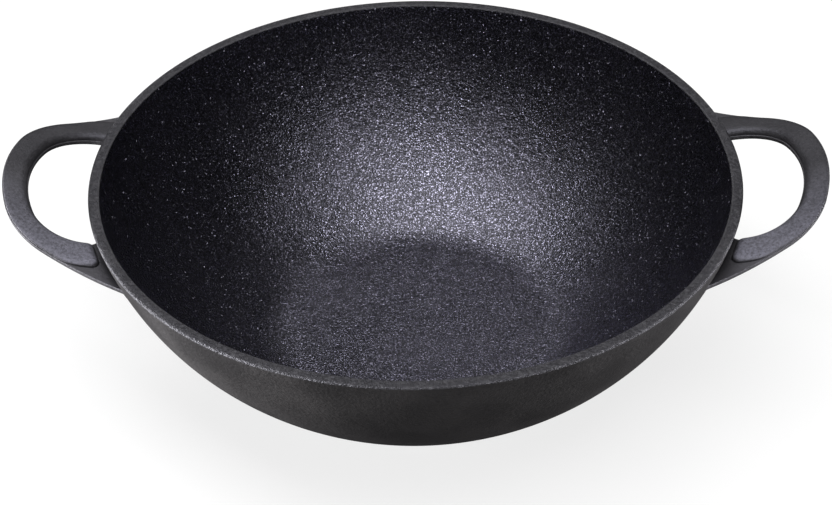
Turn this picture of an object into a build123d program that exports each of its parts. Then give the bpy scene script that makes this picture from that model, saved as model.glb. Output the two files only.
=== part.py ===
"""Flat-bottomed cast iron kadai: a round bowl with a ground rim and two raised loop grips.

The pan is one casting. Its named regions meet face to face: floor, wall, rim, two grips and the
four roots that carry the grips on the wall. Each handle is a web that runs into the wall, with a
crowned cushion on top. The origin is the centre of the resting face, +Z is up and the grips lie
along X.
"""

import os
from math import cos, radians, sin, sqrt, tan

from build123d import *

# Driving dimensions of the bowl, in millimetres and degrees
rim_diameter = 264.0
bowl_height = 85.0
base_diameter = 118.0
wall_thickness = 4.5
floor_thickness = 5.2
wall_lean_angle = 14.6
floor_blend_radius = 30.0
base_edge_radius = 8.0
floor_disc_radius = 50.0
rim_band_height = 5.0
rim_outer_edge_radius = 0.9
rim_inner_edge_radius = 0.7

# Driving dimensions of a grip seen from above: its reach past the rim and how its outline turns
grip_reach = 34.1
grip_bar_width = 9.8
grip_end_radius = 79.0
grip_end_half_angle = 16.6
grip_corner_radius = 35.0
grip_side_angle = 29.5
finger_end_radius = 55.0
finger_end_half_angle = 21.8
finger_corner_radius = 23.0

# Driving dimensions of a grip seen from the side: it leaves the wall level, then climbs in an arc
grip_drop = 7.0
grip_climb = 14.2
grip_climb_inset = 22.0
grip_root_thickness = 5.2
grip_tip_thickness = 4.4
grip_underside_edge_radius = 1.5

# Driving dimensions of the cushion, the crowned upper half of a grip, which ends short of the wall
cushion_height = 2.6
cushion_ledge = 0.4
cushion_half_span = 49.6
cushion_side_radius = 18.0
cushion_wall_gap = 1.4
cushion_end_corner_radius = 3.6
cushion_edge_radius = 2.3

# Driving dimensions of a root, where a grip's arm spreads into the wall
root_reach = 4.0
root_outer_fillet_radius = 9.0
root_finger_fillet_radius = 5.5

# Width within which two places in a sketch count as the same
match_width = 0.01

os.makedirs("parts", exist_ok=True)

rim_radius = rim_diameter / 2
base_radius = base_diameter / 2
rim_base_height = bowl_height - rim_band_height


def wall_arc():
    """Centre and radius of the arc that leaves the rim at the lean angle and ends at the base."""
    across = base_radius - rim_radius
    inward = -cos(radians(wall_lean_angle))
    upward = sin(radians(wall_lean_angle))
    radius = (across**2 + bowl_height**2) / (2 * (across * inward - bowl_height * upward))
    return rim_radius + radius * inward, bowl_height + radius * upward, radius


arc_centre_x, arc_centre_z, outer_arc_radius = wall_arc()
inner_arc_radius = outer_arc_radius - wall_thickness


def radius_at(arc_radius, height):
    """Distance from the axis to an arc of the bowl's section, at a height above the base."""
    return arc_centre_x + sqrt(arc_radius**2 - (arc_centre_z - height) ** 2)


def bowl_section(arc_radius, bottom, corner_radius):
    """Filled half section from the axis out to an arc, with its bottom corner rounded."""
    middle = (bottom + bowl_height) / 2
    corner = (radius_at(arc_radius, bottom), bottom)
    mouth = (radius_at(arc_radius, bowl_height), bowl_height)
    with BuildSketch(Plane.XZ) as section:
        with BuildLine():
            Polyline((0, bowl_height), (0, bottom), corner)
            ThreePointArc(corner, (radius_at(arc_radius, middle), middle), mouth)
            Line(mouth, (0, bowl_height))
        make_face()
        rounded = section.vertices().group_by(Axis.Y)[0].sort_by(Axis.X)[-1]
        fillet(rounded, corner_radius)
    return section.sketch


outside_section = bowl_section(outer_arc_radius, 0, base_edge_radius)
room_section = bowl_section(inner_arc_radius, floor_thickness, floor_blend_radius)

# The metal of the bowl: the outside less the room, with both edges of the ground rim rounded
with BuildSketch(Plane.XZ) as metal:
    add(outside_section)
    add(room_section, mode=Mode.SUBTRACT)
    fillet(metal.vertices().group_by(Axis.Y)[-1].sort_by(Axis.X)[-1], rim_outer_edge_radius)
    fillet(metal.vertices().group_by(Axis.Y)[-1].sort_by(Axis.X)[0], rim_inner_edge_radius)


def bowl_ring(inner, outer, bottom, top):
    """The stretch of the bowl between two radii and two heights, turned about its axis."""
    with BuildPart() as ring:
        with BuildSketch(Plane.XZ):
            add(metal.sketch)
            with Locations(((inner + outer) / 2, (bottom + top) / 2)):
                Rectangle(outer - inner, top - bottom, mode=Mode.INTERSECT)
        revolve(axis=Axis.Z)
    return ring.part


with BuildPart() as bowl_floor:
    add(bowl_ring(0, floor_disc_radius, 0, bowl_height))

with BuildPart() as bowl_wall:
    add(bowl_ring(floor_disc_radius, rim_diameter, 0, rim_base_height))

with BuildPart() as rim_band:
    add(bowl_ring(floor_disc_radius, rim_diameter, rim_base_height, bowl_height))

# The bowl as a filled body, which trims the roots to the wall's outside
with BuildPart() as filled_bowl:
    add(outside_section)
    revolve(axis=Axis.Z)

# Places that a grip's plan and side view share
grip_tip = rim_radius + grip_reach
finger_tip = grip_tip - grip_bar_width
grip_level = bowl_height - grip_drop
underside_level = grip_level - grip_root_thickness
root_foot_radius = radius_at(outer_arc_radius, underside_level)
grip_inner_end = root_foot_radius - rim_radius / 4


def turned(centre, radius, angle):
    """Point on a circle, with the angle in degrees counted from +X."""
    return centre[0] + radius * cos(radians(angle)), centre[1] + radius * sin(radians(angle))


def half_outline(tip, end_radius, end_half_angle, corner_radius, side_angle):
    """The +Y half of an outline: an end arc, a corner arc, then a straight side to the bowl."""
    end_centre = (tip - end_radius, 0)
    corner_centre = turned(end_centre, end_radius - corner_radius, end_half_angle)
    corner_end_angle = 90 - side_angle
    corner_middle_angle = (end_half_angle + corner_end_angle) / 2
    corner_end = turned(corner_centre, corner_radius, corner_end_angle)
    side_end = corner_end[1] + (corner_end[0] - grip_inner_end) * tan(radians(side_angle))
    with BuildSketch() as half:
        with BuildLine():
            end_middle = turned(end_centre, end_radius, end_half_angle / 2)
            corner_start = turned(end_centre, end_radius, end_half_angle)
            ThreePointArc((tip, 0), end_middle, corner_start)
            corner_middle = turned(corner_centre, corner_radius, corner_middle_angle)
            ThreePointArc(corner_start, corner_middle, corner_end)
            Polyline(corner_end, (grip_inner_end, side_end), (grip_inner_end, 0), (tip, 0))
        make_face()
    return half.sketch


def whole_outline(tip, end_radius, end_half_angle, corner_radius, side_angle):
    """The outline on both sides of the X axis."""
    with BuildSketch() as whole:
        add(half_outline(tip, end_radius, end_half_angle, corner_radius, side_angle))
        mirror(about=Plane.XZ)
    return whole.sketch


finger_outline = whole_outline(
    finger_tip, finger_end_radius, finger_end_half_angle, finger_corner_radius, 0
)
grip_outline = whole_outline(
    grip_tip, grip_end_radius, grip_end_half_angle, grip_corner_radius, grip_side_angle
)

# The gap between grip and wall, with its corners rounded by drawing it in and letting it out again
with BuildSketch() as finger_gap:
    add(finger_outline)
    Circle(root_foot_radius, mode=Mode.SUBTRACT)
    offset(amount=-root_finger_fillet_radius)
    offset(amount=root_finger_fillet_radius)

# The plan of a grip: its arms run into a disc that lies within the wall, in rounded corners
with BuildSketch() as grip_plan:
    add(grip_outline)
    Circle(root_foot_radius)
    offset(amount=root_outer_fillet_radius)
    offset(amount=-root_outer_fillet_radius)
    with Locations((grip_inner_end + rim_radius / 2, 0)):
        Rectangle(rim_radius, rim_diameter, mode=Mode.INTERSECT)
    add(finger_gap.sketch, mode=Mode.SUBTRACT)

# The plan of the cushion: the grip's outline, drawn in at the roots and cut short of the wall
cushion_end_radius = radius_at(outer_arc_radius, grip_level) + cushion_wall_gap
with BuildSketch() as cushion_plan:
    add(grip_outline)
    with Locations(((grip_inner_end + grip_tip) / 2, 0)):
        Rectangle(grip_tip - grip_inner_end, cushion_half_span * 2, mode=Mode.INTERSECT)
    outer_side = cushion_half_span - match_width
    side_corners = cushion_plan.vertices().filter_by(lambda corner: abs(corner.Y) > outer_side)
    fillet(side_corners.sort_by(Axis.X)[-2:], cushion_side_radius)
    add(finger_outline, mode=Mode.SUBTRACT)
    Circle(cushion_end_radius, mode=Mode.SUBTRACT)
    offset(amount=-cushion_end_corner_radius)
    offset(amount=cushion_end_corner_radius - cushion_ledge)

# The side view of a grip: level through the wall, then an arc up to the tip and past it
climb_start = rim_radius - grip_climb_inset
climb_run = grip_tip - climb_start


def climbing_arc(start_height, climb):
    """Start, middle and end of an arc that leaves level and has climbed this much at the tip."""
    radius = (climb_run**2 + climb**2) / (2 * climb)
    end_run = climb_run + grip_bar_width / 2
    runs = (0, end_run / 2, end_run)
    return [(climb_start + run, start_height + radius - sqrt(radius**2 - run**2)) for run in runs]


def side_band(low_level, low_climb, high_level, high_climb):
    """The side view between two such arcs, each with its level at the wall and its climb."""
    low_points = climbing_arc(low_level, low_climb)
    high_points = climbing_arc(high_level, high_climb)
    with BuildSketch(Plane.XZ) as band:
        with BuildLine():
            ThreePointArc(*high_points)
            Line(high_points[-1], low_points[-1])
            ThreePointArc(*low_points)
            inner_end = (grip_inner_end, low_level), (grip_inner_end, high_level)
            Polyline(low_points[0], *inner_end, high_points[0])
        make_face()
    return band.sketch


def rim_of(blank, facing):
    """The edges round a blank's top, or round its underside where facing is -1, outside the bowl."""
    level_faces = ShapeList(f for f in blank.faces() if f.normal_at().Z * facing > sqrt(0.5))
    side_faces = ShapeList(f for f in blank.faces() if abs(f.normal_at().Z) < match_width)
    shared = [edge for edge in level_faces.edges() if edge in side_faces.edges()]
    return ShapeList(shared).filter_by(lambda edge: edge.center().X > grip_inner_end + match_width)


ledge_level = grip_level - cushion_height
underside_climb = grip_climb + grip_root_thickness - grip_tip_thickness

# The lower half of a handle: the grip's full plan, with a rounded underside
with BuildPart() as handle_web:
    with BuildSketch():
        add(grip_plan.sketch)
    extrude(amount=bowl_height * 2)
    with BuildSketch(Plane.XZ):
        add(side_band(underside_level, underside_climb, ledge_level, grip_climb))
    extrude(amount=rim_diameter, both=True, mode=Mode.INTERSECT)
    fillet(rim_of(handle_web, -1), grip_underside_edge_radius)

# The upper half: the crowned cushion, with its top edge rounded
with BuildPart() as handle_cushion:
    with BuildSketch():
        add(cushion_plan.sketch)
    extrude(amount=bowl_height * 2)
    with BuildSketch(Plane.XZ):
        add(side_band(ledge_level, grip_climb, grip_level, grip_climb))
    extrude(amount=rim_diameter, both=True, mode=Mode.INTERSECT)
    fillet(rim_of(handle_cushion, 1), cushion_edge_radius)

# One whole handle on the +X side, trimmed to the wall's outside
with BuildPart() as handle:
    add(handle_web.part)
    add(handle_cushion.part)
    add(filled_bowl.part, mode=Mode.SUBTRACT)

# The pieces of the handles: beyond the root reach the grip, inside it a front and a rear root
root_end = rim_radius + root_reach
grip_middle = (root_end + grip_tip) / 2


def handle_stretch(middle_x, middle_y, length, width):
    """The metal of the whole handle inside an upright box with this middle and these sides."""
    with BuildPart() as stretch:
        add(handle.part)
        with Locations((middle_x, middle_y, bowl_height)):
            Box(length, width, bowl_height, mode=Mode.INTERSECT)
    return stretch.part


with BuildPart() as right_grip:
    add(handle_stretch(grip_middle, 0, grip_tip - root_end, rim_diameter))

with BuildPart() as right_front_root:
    add(handle_stretch(root_end / 2, -rim_radius / 2, root_end, rim_radius))

with BuildPart() as right_rear_root:
    add(handle_stretch(root_end / 2, rim_radius / 2, root_end, rim_radius))

with BuildPart() as left_grip:
    add(mirror(right_grip.part, about=Plane.YZ))

with BuildPart() as left_front_root:
    add(mirror(right_front_root.part, about=Plane.YZ))

with BuildPart() as left_rear_root:
    add(mirror(right_rear_root.part, about=Plane.YZ))

bowl_floor.part.label = "bowl_floor"
bowl_wall.part.label = "bowl_wall"
rim_band.part.label = "rim_band"
right_grip.part.label = "right_grip"
right_front_root.part.label = "right_front_root"
right_rear_root.part.label = "right_rear_root"
left_grip.part.label = "left_grip"
left_front_root.part.label = "left_front_root"
left_rear_root.part.label = "left_rear_root"

export_step(bowl_floor.part, "parts/bowl_floor.step")
export_step(bowl_wall.part, "parts/bowl_wall.step")
export_step(rim_band.part, "parts/rim_band.step")
export_step(right_grip.part, "parts/right_grip.step")
export_step(right_front_root.part, "parts/right_front_root.step")
export_step(right_rear_root.part, "parts/right_rear_root.step")
export_step(left_grip.part, "parts/left_grip.step")
export_step(left_front_root.part, "parts/left_front_root.step")
export_step(left_rear_root.part, "parts/left_rear_root.step")
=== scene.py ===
"""Looks of a cast iron kadai: its turned bowl, its loop handles and its studio.

The bowl is drawn as a section and spun. Each handle is two layers on one plan: a web that runs into
the wall and a crowned cushion on top of it, both bent up along the same arc. Lengths are in metres.
"""

import math

import bmesh
import bpy
from bpy.props import FloatProperty, FloatVectorProperty, IntProperty, PointerProperty
from mathutils import Matrix, Vector


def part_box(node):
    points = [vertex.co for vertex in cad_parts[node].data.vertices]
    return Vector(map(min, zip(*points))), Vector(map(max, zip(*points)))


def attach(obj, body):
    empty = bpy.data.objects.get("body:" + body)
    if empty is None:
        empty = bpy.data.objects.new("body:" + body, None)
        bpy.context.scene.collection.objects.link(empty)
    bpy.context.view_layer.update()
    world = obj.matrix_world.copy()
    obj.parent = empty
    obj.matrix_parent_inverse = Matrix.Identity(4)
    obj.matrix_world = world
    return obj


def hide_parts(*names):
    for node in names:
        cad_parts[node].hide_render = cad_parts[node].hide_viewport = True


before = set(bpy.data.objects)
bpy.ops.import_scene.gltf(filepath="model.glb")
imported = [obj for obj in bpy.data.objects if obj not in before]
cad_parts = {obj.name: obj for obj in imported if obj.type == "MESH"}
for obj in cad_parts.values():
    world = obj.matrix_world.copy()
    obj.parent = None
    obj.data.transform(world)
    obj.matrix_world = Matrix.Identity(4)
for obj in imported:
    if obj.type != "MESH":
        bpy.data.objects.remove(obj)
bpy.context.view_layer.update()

bl_info = {
    "name": "Cast iron kadai",
    "version": (1, 0, 0),
    "blender": (4, 5, 0),
    "location": "3D View > Sidebar > Kadai",
    "description": "Builds a cast iron kadai with its seasoned finish and a white studio",
    "category": "Add Mesh",
}

BODY = "root"
MM = 0.001
RIM_NODE_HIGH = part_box("rim_band")[1]
FLOOR_NODE_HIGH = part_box("bowl_floor")[1]
GRIP_NODE_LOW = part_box("right_grip")[0]
WELD = 0.002 * MM
SHARP_ANGLE = math.radians(38)


class KadaiBowlSizes(bpy.types.PropertyGroup):
    """Sizes of the turned bowl."""

    rim_radius: FloatProperty(
        name="Rim radius", description="Outer radius of the bowl's mouth",
        default=132.0 * MM, unit="LENGTH", precision=5)
    height: FloatProperty(
        name="Height", description="From the resting face to the ground rim",
        default=RIM_NODE_HIGH.z, unit="LENGTH", precision=5)
    base_radius: FloatProperty(
        name="Base radius", description="Where the wall's outer arc would meet the resting face",
        default=59.0 * MM, unit="LENGTH", precision=5)
    wall_thickness: FloatProperty(
        name="Wall thickness", description="Thickness of the wall along its arc",
        default=4.5 * MM, unit="LENGTH", precision=5)
    floor_thickness: FloatProperty(
        name="Floor thickness", description="Thickness of the flat floor",
        default=FLOOR_NODE_HIGH.z, unit="LENGTH", precision=5)
    wall_lean: FloatProperty(
        name="Wall lean", description="Angle of the wall from upright at the rim",
        default=math.radians(14.6), unit="ROTATION")
    floor_blend_radius: FloatProperty(
        name="Floor blend", description="Radius between floor and wall inside the bowl",
        default=30.0 * MM, unit="LENGTH", precision=5)
    base_edge_radius: FloatProperty(
        name="Base edge", description="Radius between resting face and wall outside",
        default=8.0 * MM, unit="LENGTH", precision=5)
    floor_disc_radius: FloatProperty(
        name="Floor disc radius", description="Radius of the flat disc in the middle of the floor",
        default=FLOOR_NODE_HIGH.x, unit="LENGTH", precision=5)
    rim_outer_edge: FloatProperty(
        name="Rim outer edge", description="Radius of the ground rim's outer edge",
        default=0.9 * MM, unit="LENGTH", precision=5)
    rim_inner_edge: FloatProperty(
        name="Rim inner edge", description="Radius of the ground rim's inner edge",
        default=0.7 * MM, unit="LENGTH", precision=5)
    rim_band_height: FloatProperty(
        name="Rim band", description="Height of the band that ends in the ground rim",
        default=5.0 * MM, unit="LENGTH", precision=5)
    turn_steps: IntProperty(
        name="Turn steps", description="Steps of a full turn about the bowl's axis", default=288)
    arc_steps: IntProperty(
        name="Arc steps", description="Steps along the wall's arc", default=56)


class KadaiHandleSizes(bpy.types.PropertyGroup):
    """Sizes of the two loop handles."""

    reach: FloatProperty(
        name="Reach", description="From the rim to the tip of a grip",
        default=34.1 * MM, unit="LENGTH", precision=5)
    bar_width: FloatProperty(
        name="Bar width", description="Width of the bar at the tip",
        default=9.8 * MM, unit="LENGTH", precision=5)
    end_radius: FloatProperty(
        name="End radius", description="Radius of the grip's outline at its tip",
        default=79.0 * MM, unit="LENGTH", precision=5)
    end_half_angle: FloatProperty(
        name="End half angle", description="Half the turn of that arc",
        default=math.radians(16.6), unit="ROTATION")
    corner_radius: FloatProperty(
        name="Corner radius", description="Radius of the outline's corners",
        default=35.0 * MM, unit="LENGTH", precision=5)
    side_angle: FloatProperty(
        name="Side angle", description="Angle at which the straight sides spread towards the bowl",
        default=math.radians(29.5), unit="ROTATION")
    finger_end_radius: FloatProperty(
        name="Gap end radius", description="Radius of the finger gap at its far end",
        default=55.0 * MM, unit="LENGTH", precision=5)
    finger_half_angle: FloatProperty(
        name="Gap half angle", description="Half the turn of that arc",
        default=math.radians(21.8), unit="ROTATION")
    finger_corner_radius: FloatProperty(
        name="Gap corner radius", description="Radius of the gap's corners",
        default=23.0 * MM, unit="LENGTH", precision=5)
    drop: FloatProperty(
        name="Drop", description="From the ground rim down to the top of a grip at the wall",
        default=7.0 * MM, unit="LENGTH", precision=5)
    climb: FloatProperty(
        name="Climb", description="Rise of the grip from there to its tip",
        default=14.2 * MM, unit="LENGTH", precision=5)
    climb_inset: FloatProperty(
        name="Climb inset", description="How far inside the rim the climb starts",
        default=22.0 * MM, unit="LENGTH", precision=5)
    root_thickness: FloatProperty(
        name="Root thickness", description="Thickness where a grip leaves the wall",
        default=5.2 * MM, unit="LENGTH", precision=5)
    tip_thickness: FloatProperty(
        name="Tip thickness", description="Thickness at the tip",
        default=4.4 * MM, unit="LENGTH", precision=5)
    underside_edge: FloatProperty(
        name="Underside edge", description="Radius of the edges underneath",
        default=1.5 * MM, unit="LENGTH", precision=5)
    root_outer_fillet: FloatProperty(
        name="Root outer fillet", description="Radius between a straight side and the wall",
        default=9.0 * MM, unit="LENGTH", precision=5)
    root_finger_fillet: FloatProperty(
        name="Root finger fillet", description="Radius between the finger gap's side and the wall",
        default=5.5 * MM, unit="LENGTH", precision=5)
    cushion_height: FloatProperty(
        name="Cushion height", description="Height of the crowned upper layer",
        default=2.6 * MM, unit="LENGTH", precision=5)
    cushion_fall: FloatProperty(
        name="Cushion fall", description="Share of its height that it loses at its outer side",
        default=0.6)
    cushion_ledge: FloatProperty(
        name="Cushion ledge", description="Width of web that shows round the cushion",
        default=0.4 * MM, unit="LENGTH", precision=5)
    cushion_half_span: FloatProperty(
        name="Cushion half span", description="From the middle to its outer side at the wall",
        default=49.6 * MM, unit="LENGTH", precision=5)
    cushion_side_radius: FloatProperty(
        name="Cushion side radius", description="Radius where its side turns along the arm",
        default=18.0 * MM, unit="LENGTH", precision=5)
    cushion_wall_gap: FloatProperty(
        name="Cushion wall gap", description="Groove between the cushion's end and the wall",
        default=1.4 * MM, unit="LENGTH", precision=5)
    cushion_end_corner: FloatProperty(
        name="Cushion end corner", description="Radius of the corners of the cushion's end",
        default=3.6 * MM, unit="LENGTH", precision=5)
    slice_width: FloatProperty(
        name="Slice width", description="Distance of the cuts at which a handle bends",
        default=1.5 * MM, unit="LENGTH", precision=5)


class KadaiFinish(bpy.types.PropertyGroup):
    """Colours and grain of the iron."""

    inside_colour: FloatVectorProperty(
        name="Inside colour", description="Seasoned iron inside the bowl",
        default=(0.0012, 0.0011, 0.0013), size=3, subtype="COLOR")
    outside_colour: FloatVectorProperty(
        name="Outside colour", description="Seasoned iron outside the bowl",
        default=(0.0170, 0.0160, 0.0160), size=3, subtype="COLOR")
    # The cushions and the web are one casting's iron. It is written darker on the cushions and
    # lighter on the web: shaded and lit copies of one iron, painted to stand in for how light falls
    # on each.
    cushion_shaded_colour: FloatVectorProperty(
        name="Handle colour", description="Seasoned iron of the handles' cushions",
        default=(0.0160, 0.0155, 0.0168), size=3, subtype="COLOR")
    web_lit_colour: FloatVectorProperty(
        name="Web colour", description="Seasoned iron of the web below the cushions",
        default=(0.0270, 0.0260, 0.0280), size=3, subtype="COLOR")
    # Painted sheen: a lighter, bluish colour on the front arms of the handles where they face up,
    # standing in for the light they catch.
    painted_sheen_colour: FloatVectorProperty(
        name="Painted sheen colour", description="Painted sheen on the front arms of the handles where they face up",
        default=(0.1520, 0.1495, 0.1870), size=3, subtype="COLOR")
    rim_colour: FloatVectorProperty(
        name="Rim colour", description="The ground face of the rim",
        default=(0.0125, 0.0120, 0.0125), size=3, subtype="COLOR")
    # Shared by the rim's grit and by a painted highlight along the rim's inner edge.
    grit_and_edge_highlight_colour: FloatVectorProperty(
        name="Grit and edge highlight colour", description="Iron that shows through where the seasoning is thin",
        default=(0.0600, 0.0590, 0.0620), size=3, subtype="COLOR")
    glint_colour: FloatVectorProperty(
        name="Glint colour", description="Bare tops of the grains, which catch the light",
        default=(0.2800, 0.2720, 0.3500), size=3, subtype="COLOR")
    peel_size: FloatProperty(
        name="Peel size", description="Distance between the ripples inside the bowl",
        default=1.3 * MM, unit="LENGTH", precision=5)
    peel_depth: FloatProperty(
        name="Peel depth", description="Height of those ripples",
        default=0.20 * MM, unit="LENGTH", precision=5)
    speckle_size: FloatProperty(
        name="Speckle size", description="Distance between the pits inside the bowl",
        default=0.70 * MM, unit="LENGTH", precision=5)
    speckle_depth: FloatProperty(
        name="Speckle depth", description="Height of those pits",
        default=0.16 * MM, unit="LENGTH", precision=5)
    facet_size: FloatProperty(
        name="Facet size", description="Distance between the loose grains inside the bowl",
        default=0.40 * MM, unit="LENGTH", precision=5)
    facet_share: FloatProperty(
        name="Facet share", description="Share of those grains that stand tilted", default=0.26)
    sand_size: FloatProperty(
        name="Sand size", description="Distance between the grains that the sand mould left",
        default=0.8 * MM, unit="LENGTH", precision=5)
    sand_depth: FloatProperty(
        name="Sand depth", description="Height of those grains",
        default=0.2 * MM, unit="LENGTH", precision=5)


class KadaiStudio(bpy.types.PropertyGroup):
    """Floor, lamps and camera."""

    floor_colour: FloatVectorProperty(
        name="Floor", description="Colour of the studio floor and backdrop",
        default=(0.90, 0.90, 0.90), size=3, subtype="COLOR")
    floor_show: FloatProperty(
        name="Floor white", description="Share of plain white in the camera's view of the floor",
        default=0.78)
    floor_bounce: FloatProperty(
        name="Floor bounce", description="Share of its colour with which the floor lights the iron",
        default=0.07)
    softbox_side: FloatProperty(
        name="Softbox side", description="Side of the overhead softbox",
        default=0.95, unit="LENGTH")
    softbox_height: FloatProperty(
        name="Softbox height", description="Height of the overhead softbox",
        default=1.25, unit="LENGTH")
    softbox_power: FloatProperty(
        name="Softbox power", description="Power of the overhead softbox",
        default=27.0, unit="POWER")
    back_power: FloatProperty(
        name="Back power", description="Power of the box behind the bowl",
        default=2.3, unit="POWER")
    left_power: FloatProperty(
        name="Left power", description="Power of the low lamp on the left",
        default=50.0, unit="POWER")
    right_power: FloatProperty(
        name="Right power", description="Power of the low lamp on the right",
        default=24.0, unit="POWER")
    room_level: FloatProperty(
        name="Room level", description="Brightness of the room beyond the lamps", default=0.002)
    view_elevation: FloatProperty(
        name="View elevation", description="Height angle of the camera over the rim's centre",
        default=math.radians(36.027), unit="ROTATION")
    view_azimuth: FloatProperty(
        name="View azimuth", description="Turn of the camera from the front",
        default=math.radians(1.04), unit="ROTATION")
    view_roll: FloatProperty(
        name="View roll", description="Tilt of the camera about its own axis",
        default=math.radians(1.0678), unit="ROTATION")
    view_distance: FloatProperty(
        name="View distance", description="From the camera to the rim's centre",
        default=0.990, unit="LENGTH")
    view_lens: FloatProperty(
        name="Lens", description="Focal length in millimetres on a 36 mm sensor", default=106.0)
    target_across: FloatProperty(
        name="Target across", description="Pixel column of the rim's centre in the 832 x 505 frame",
        default=415.2)
    target_down: FloatProperty(
        name="Target down", description="Pixel row of the rim's centre in that frame",
        default=173.91)


# Drawing helpers: a chain of vertices grows by straight runs and by arcs spun about their centres

def run_to(bm, vertex, place):
    """Add a straight run from a vertex to a place and return its end."""
    end = bm.verts.new(place)
    bm.edges.new((vertex, end))
    return end


def swing(bm, vertex, centre, axis, angle, steps):
    """Spin a vertex about a centre, which leaves an arc of edges, and return its end."""
    spun = bmesh.ops.spin(
        bm, geom=[vertex], cent=centre, axis=axis, angle=angle, steps=steps,
        use_merge=False, use_normal_flip=False, use_duplicate=False)
    return next(item for item in spun["geom_last"] if isinstance(item, bmesh.types.BMVert))


def fill_chain(bm):
    """Close the drawn chain into one face and return it."""
    bmesh.ops.remove_doubles(bm, verts=bm.verts[:], dist=WELD)
    filled = bmesh.ops.contextual_create(bm, geom=bm.edges[:])
    if not filled["faces"]:
        raise RuntimeError("the drawn outline doesn't close into a face")
    return filled["faces"][0]


def cut_off(bm, place, normal, close=True):
    """Cut along a plane, drop what lies on the side the normal points to, and close the cut."""
    everything = bm.verts[:] + bm.edges[:] + bm.faces[:]
    bmesh.ops.bisect_plane(bm, geom=everything, plane_co=place, plane_no=normal, clear_outer=True)
    if close:
        open_edges = [edge for edge in bm.edges if edge.is_boundary]
        bmesh.ops.holes_fill(bm, edges=open_edges, sides=0)


def finish_piece(bm, name, node, materials):
    """Turn a closed bmesh into a piece that rides the body, and hide its node."""
    bmesh.ops.remove_doubles(bm, verts=bm.verts[:], dist=WELD)
    bmesh.ops.recalc_face_normals(bm, faces=bm.faces[:])
    loose = [vertex for vertex in bm.verts if not vertex.link_faces]
    bmesh.ops.delete(bm, geom=loose, context="VERTS")
    if not all(edge.is_manifold for edge in bm.edges):
        raise RuntimeError(name + " isn't closed")
    if bm.calc_volume(signed=True) < 0:
        bmesh.ops.reverse_faces(bm, faces=bm.faces[:])
    for face in bm.faces:
        face.smooth = True
    for edge in bm.edges:
        edge.smooth = edge.calc_face_angle(0) < SHARP_ANGLE
    mesh = bpy.data.meshes.new(name)
    bm.to_mesh(mesh)
    bm.free()
    for material in materials:
        mesh.materials.append(material)
    piece = bpy.data.objects.new(name, mesh)
    bpy.context.scene.collection.objects.link(piece)
    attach(piece, BODY)
    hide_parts(node)


# The bowl's section, drawn in the XZ plane

COUNTER = Vector((0, -1, 0))
CLOCK = Vector((0, 1, 0))
BASE_EDGE_STEPS = 8
RIM_EDGE_STEPS = 5
WELL_STEPS = 14


class BowlShape:
    """Places of the bowl's half section, all derived from its sizes."""

    def __init__(self, sizes):
        across = sizes.base_radius - sizes.rim_radius
        lean = sizes.wall_lean
        fall = across * -math.cos(lean) - sizes.height * math.sin(lean)
        self.sizes = sizes
        self.outer = (across**2 + sizes.height**2) / (2 * fall)
        self.inner = self.outer - sizes.wall_thickness
        self.centre = Vector((
            sizes.rim_radius - self.outer * math.cos(lean), 0,
            sizes.height + self.outer * math.sin(lean)))

    def radius_at(self, reach, height):
        """Distance from the axis to the arc of this reach at a height."""
        return self.centre.x + math.sqrt(reach**2 - (self.centre.z - height) ** 2)

    def blend(self, reach, height):
        """Centre of a blend at this reach and height, and its direction from the arc's centre."""
        place = Vector((self.radius_at(reach, height), 0, height))
        ray = place - self.centre
        return place, math.atan2(ray.z, ray.x)

    def draw(self, bm):
        """Draw the closed half section from the axis round the metal and back to the axis."""
        sizes = self.sizes
        up = math.pi / 2
        base, base_turn = self.blend(self.outer - sizes.base_edge_radius, sizes.base_edge_radius)
        lip, lip_turn = self.blend(
            self.outer - sizes.rim_outer_edge, sizes.height - sizes.rim_outer_edge)
        mouth, mouth_turn = self.blend(
            self.inner + sizes.rim_inner_edge, sizes.height - sizes.rim_inner_edge)
        well, well_turn = self.blend(
            self.inner - sizes.floor_blend_radius, sizes.floor_thickness + sizes.floor_blend_radius)
        tip = bm.verts.new((0, 0, 0))
        tip = run_to(bm, tip, (base.x, 0, 0))
        tip = swing(bm, tip, base, COUNTER, base_turn + up, BASE_EDGE_STEPS)
        tip = swing(bm, tip, self.centre, COUNTER, lip_turn - base_turn, sizes.arc_steps)
        tip = swing(bm, tip, lip, COUNTER, up - lip_turn, RIM_EDGE_STEPS)
        tip = run_to(bm, tip, (mouth.x, 0, sizes.height))
        tip = swing(bm, tip, mouth, COUNTER, up + mouth_turn, RIM_EDGE_STEPS)
        tip = swing(bm, tip, self.centre, CLOCK, mouth_turn - well_turn, sizes.arc_steps)
        tip = swing(bm, tip, well, CLOCK, well_turn + up, WELL_STEPS)
        tip = run_to(bm, tip, (0, 0, sizes.floor_thickness))
        run_to(bm, tip, (0, 0, 0))
        return fill_chain(bm)


def turn_section(bm, steps):
    """Turn the section's outline once round the bowl's axis, without the run along the axis."""
    on_axis = [e for e in bm.edges if all(abs(v.co.x) < WELD for v in e.verts)]
    bmesh.ops.delete(bm, geom=bm.faces[:], context="FACES_ONLY")
    bmesh.ops.delete(bm, geom=on_axis, context="EDGES")
    bmesh.ops.spin(
        bm, geom=bm.verts[:] + bm.edges[:], cent=(0, 0, 0), axis=(0, 0, 1), angle=math.tau,
        steps=steps, use_merge=True, use_normal_flip=False, use_duplicate=False)
    bmesh.ops.remove_doubles(bm, verts=bm.verts[:], dist=WELD)


def turned_part(shape, cuts):
    """Draw the bowl's section, cut it down to one part and turn that part."""
    bm = bmesh.new()
    shape.draw(bm)
    for place, normal in cuts:
        cut_off(bm, place, normal, close=False)
    turn_section(bm, shape.sizes.turn_steps)
    return bm


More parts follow.
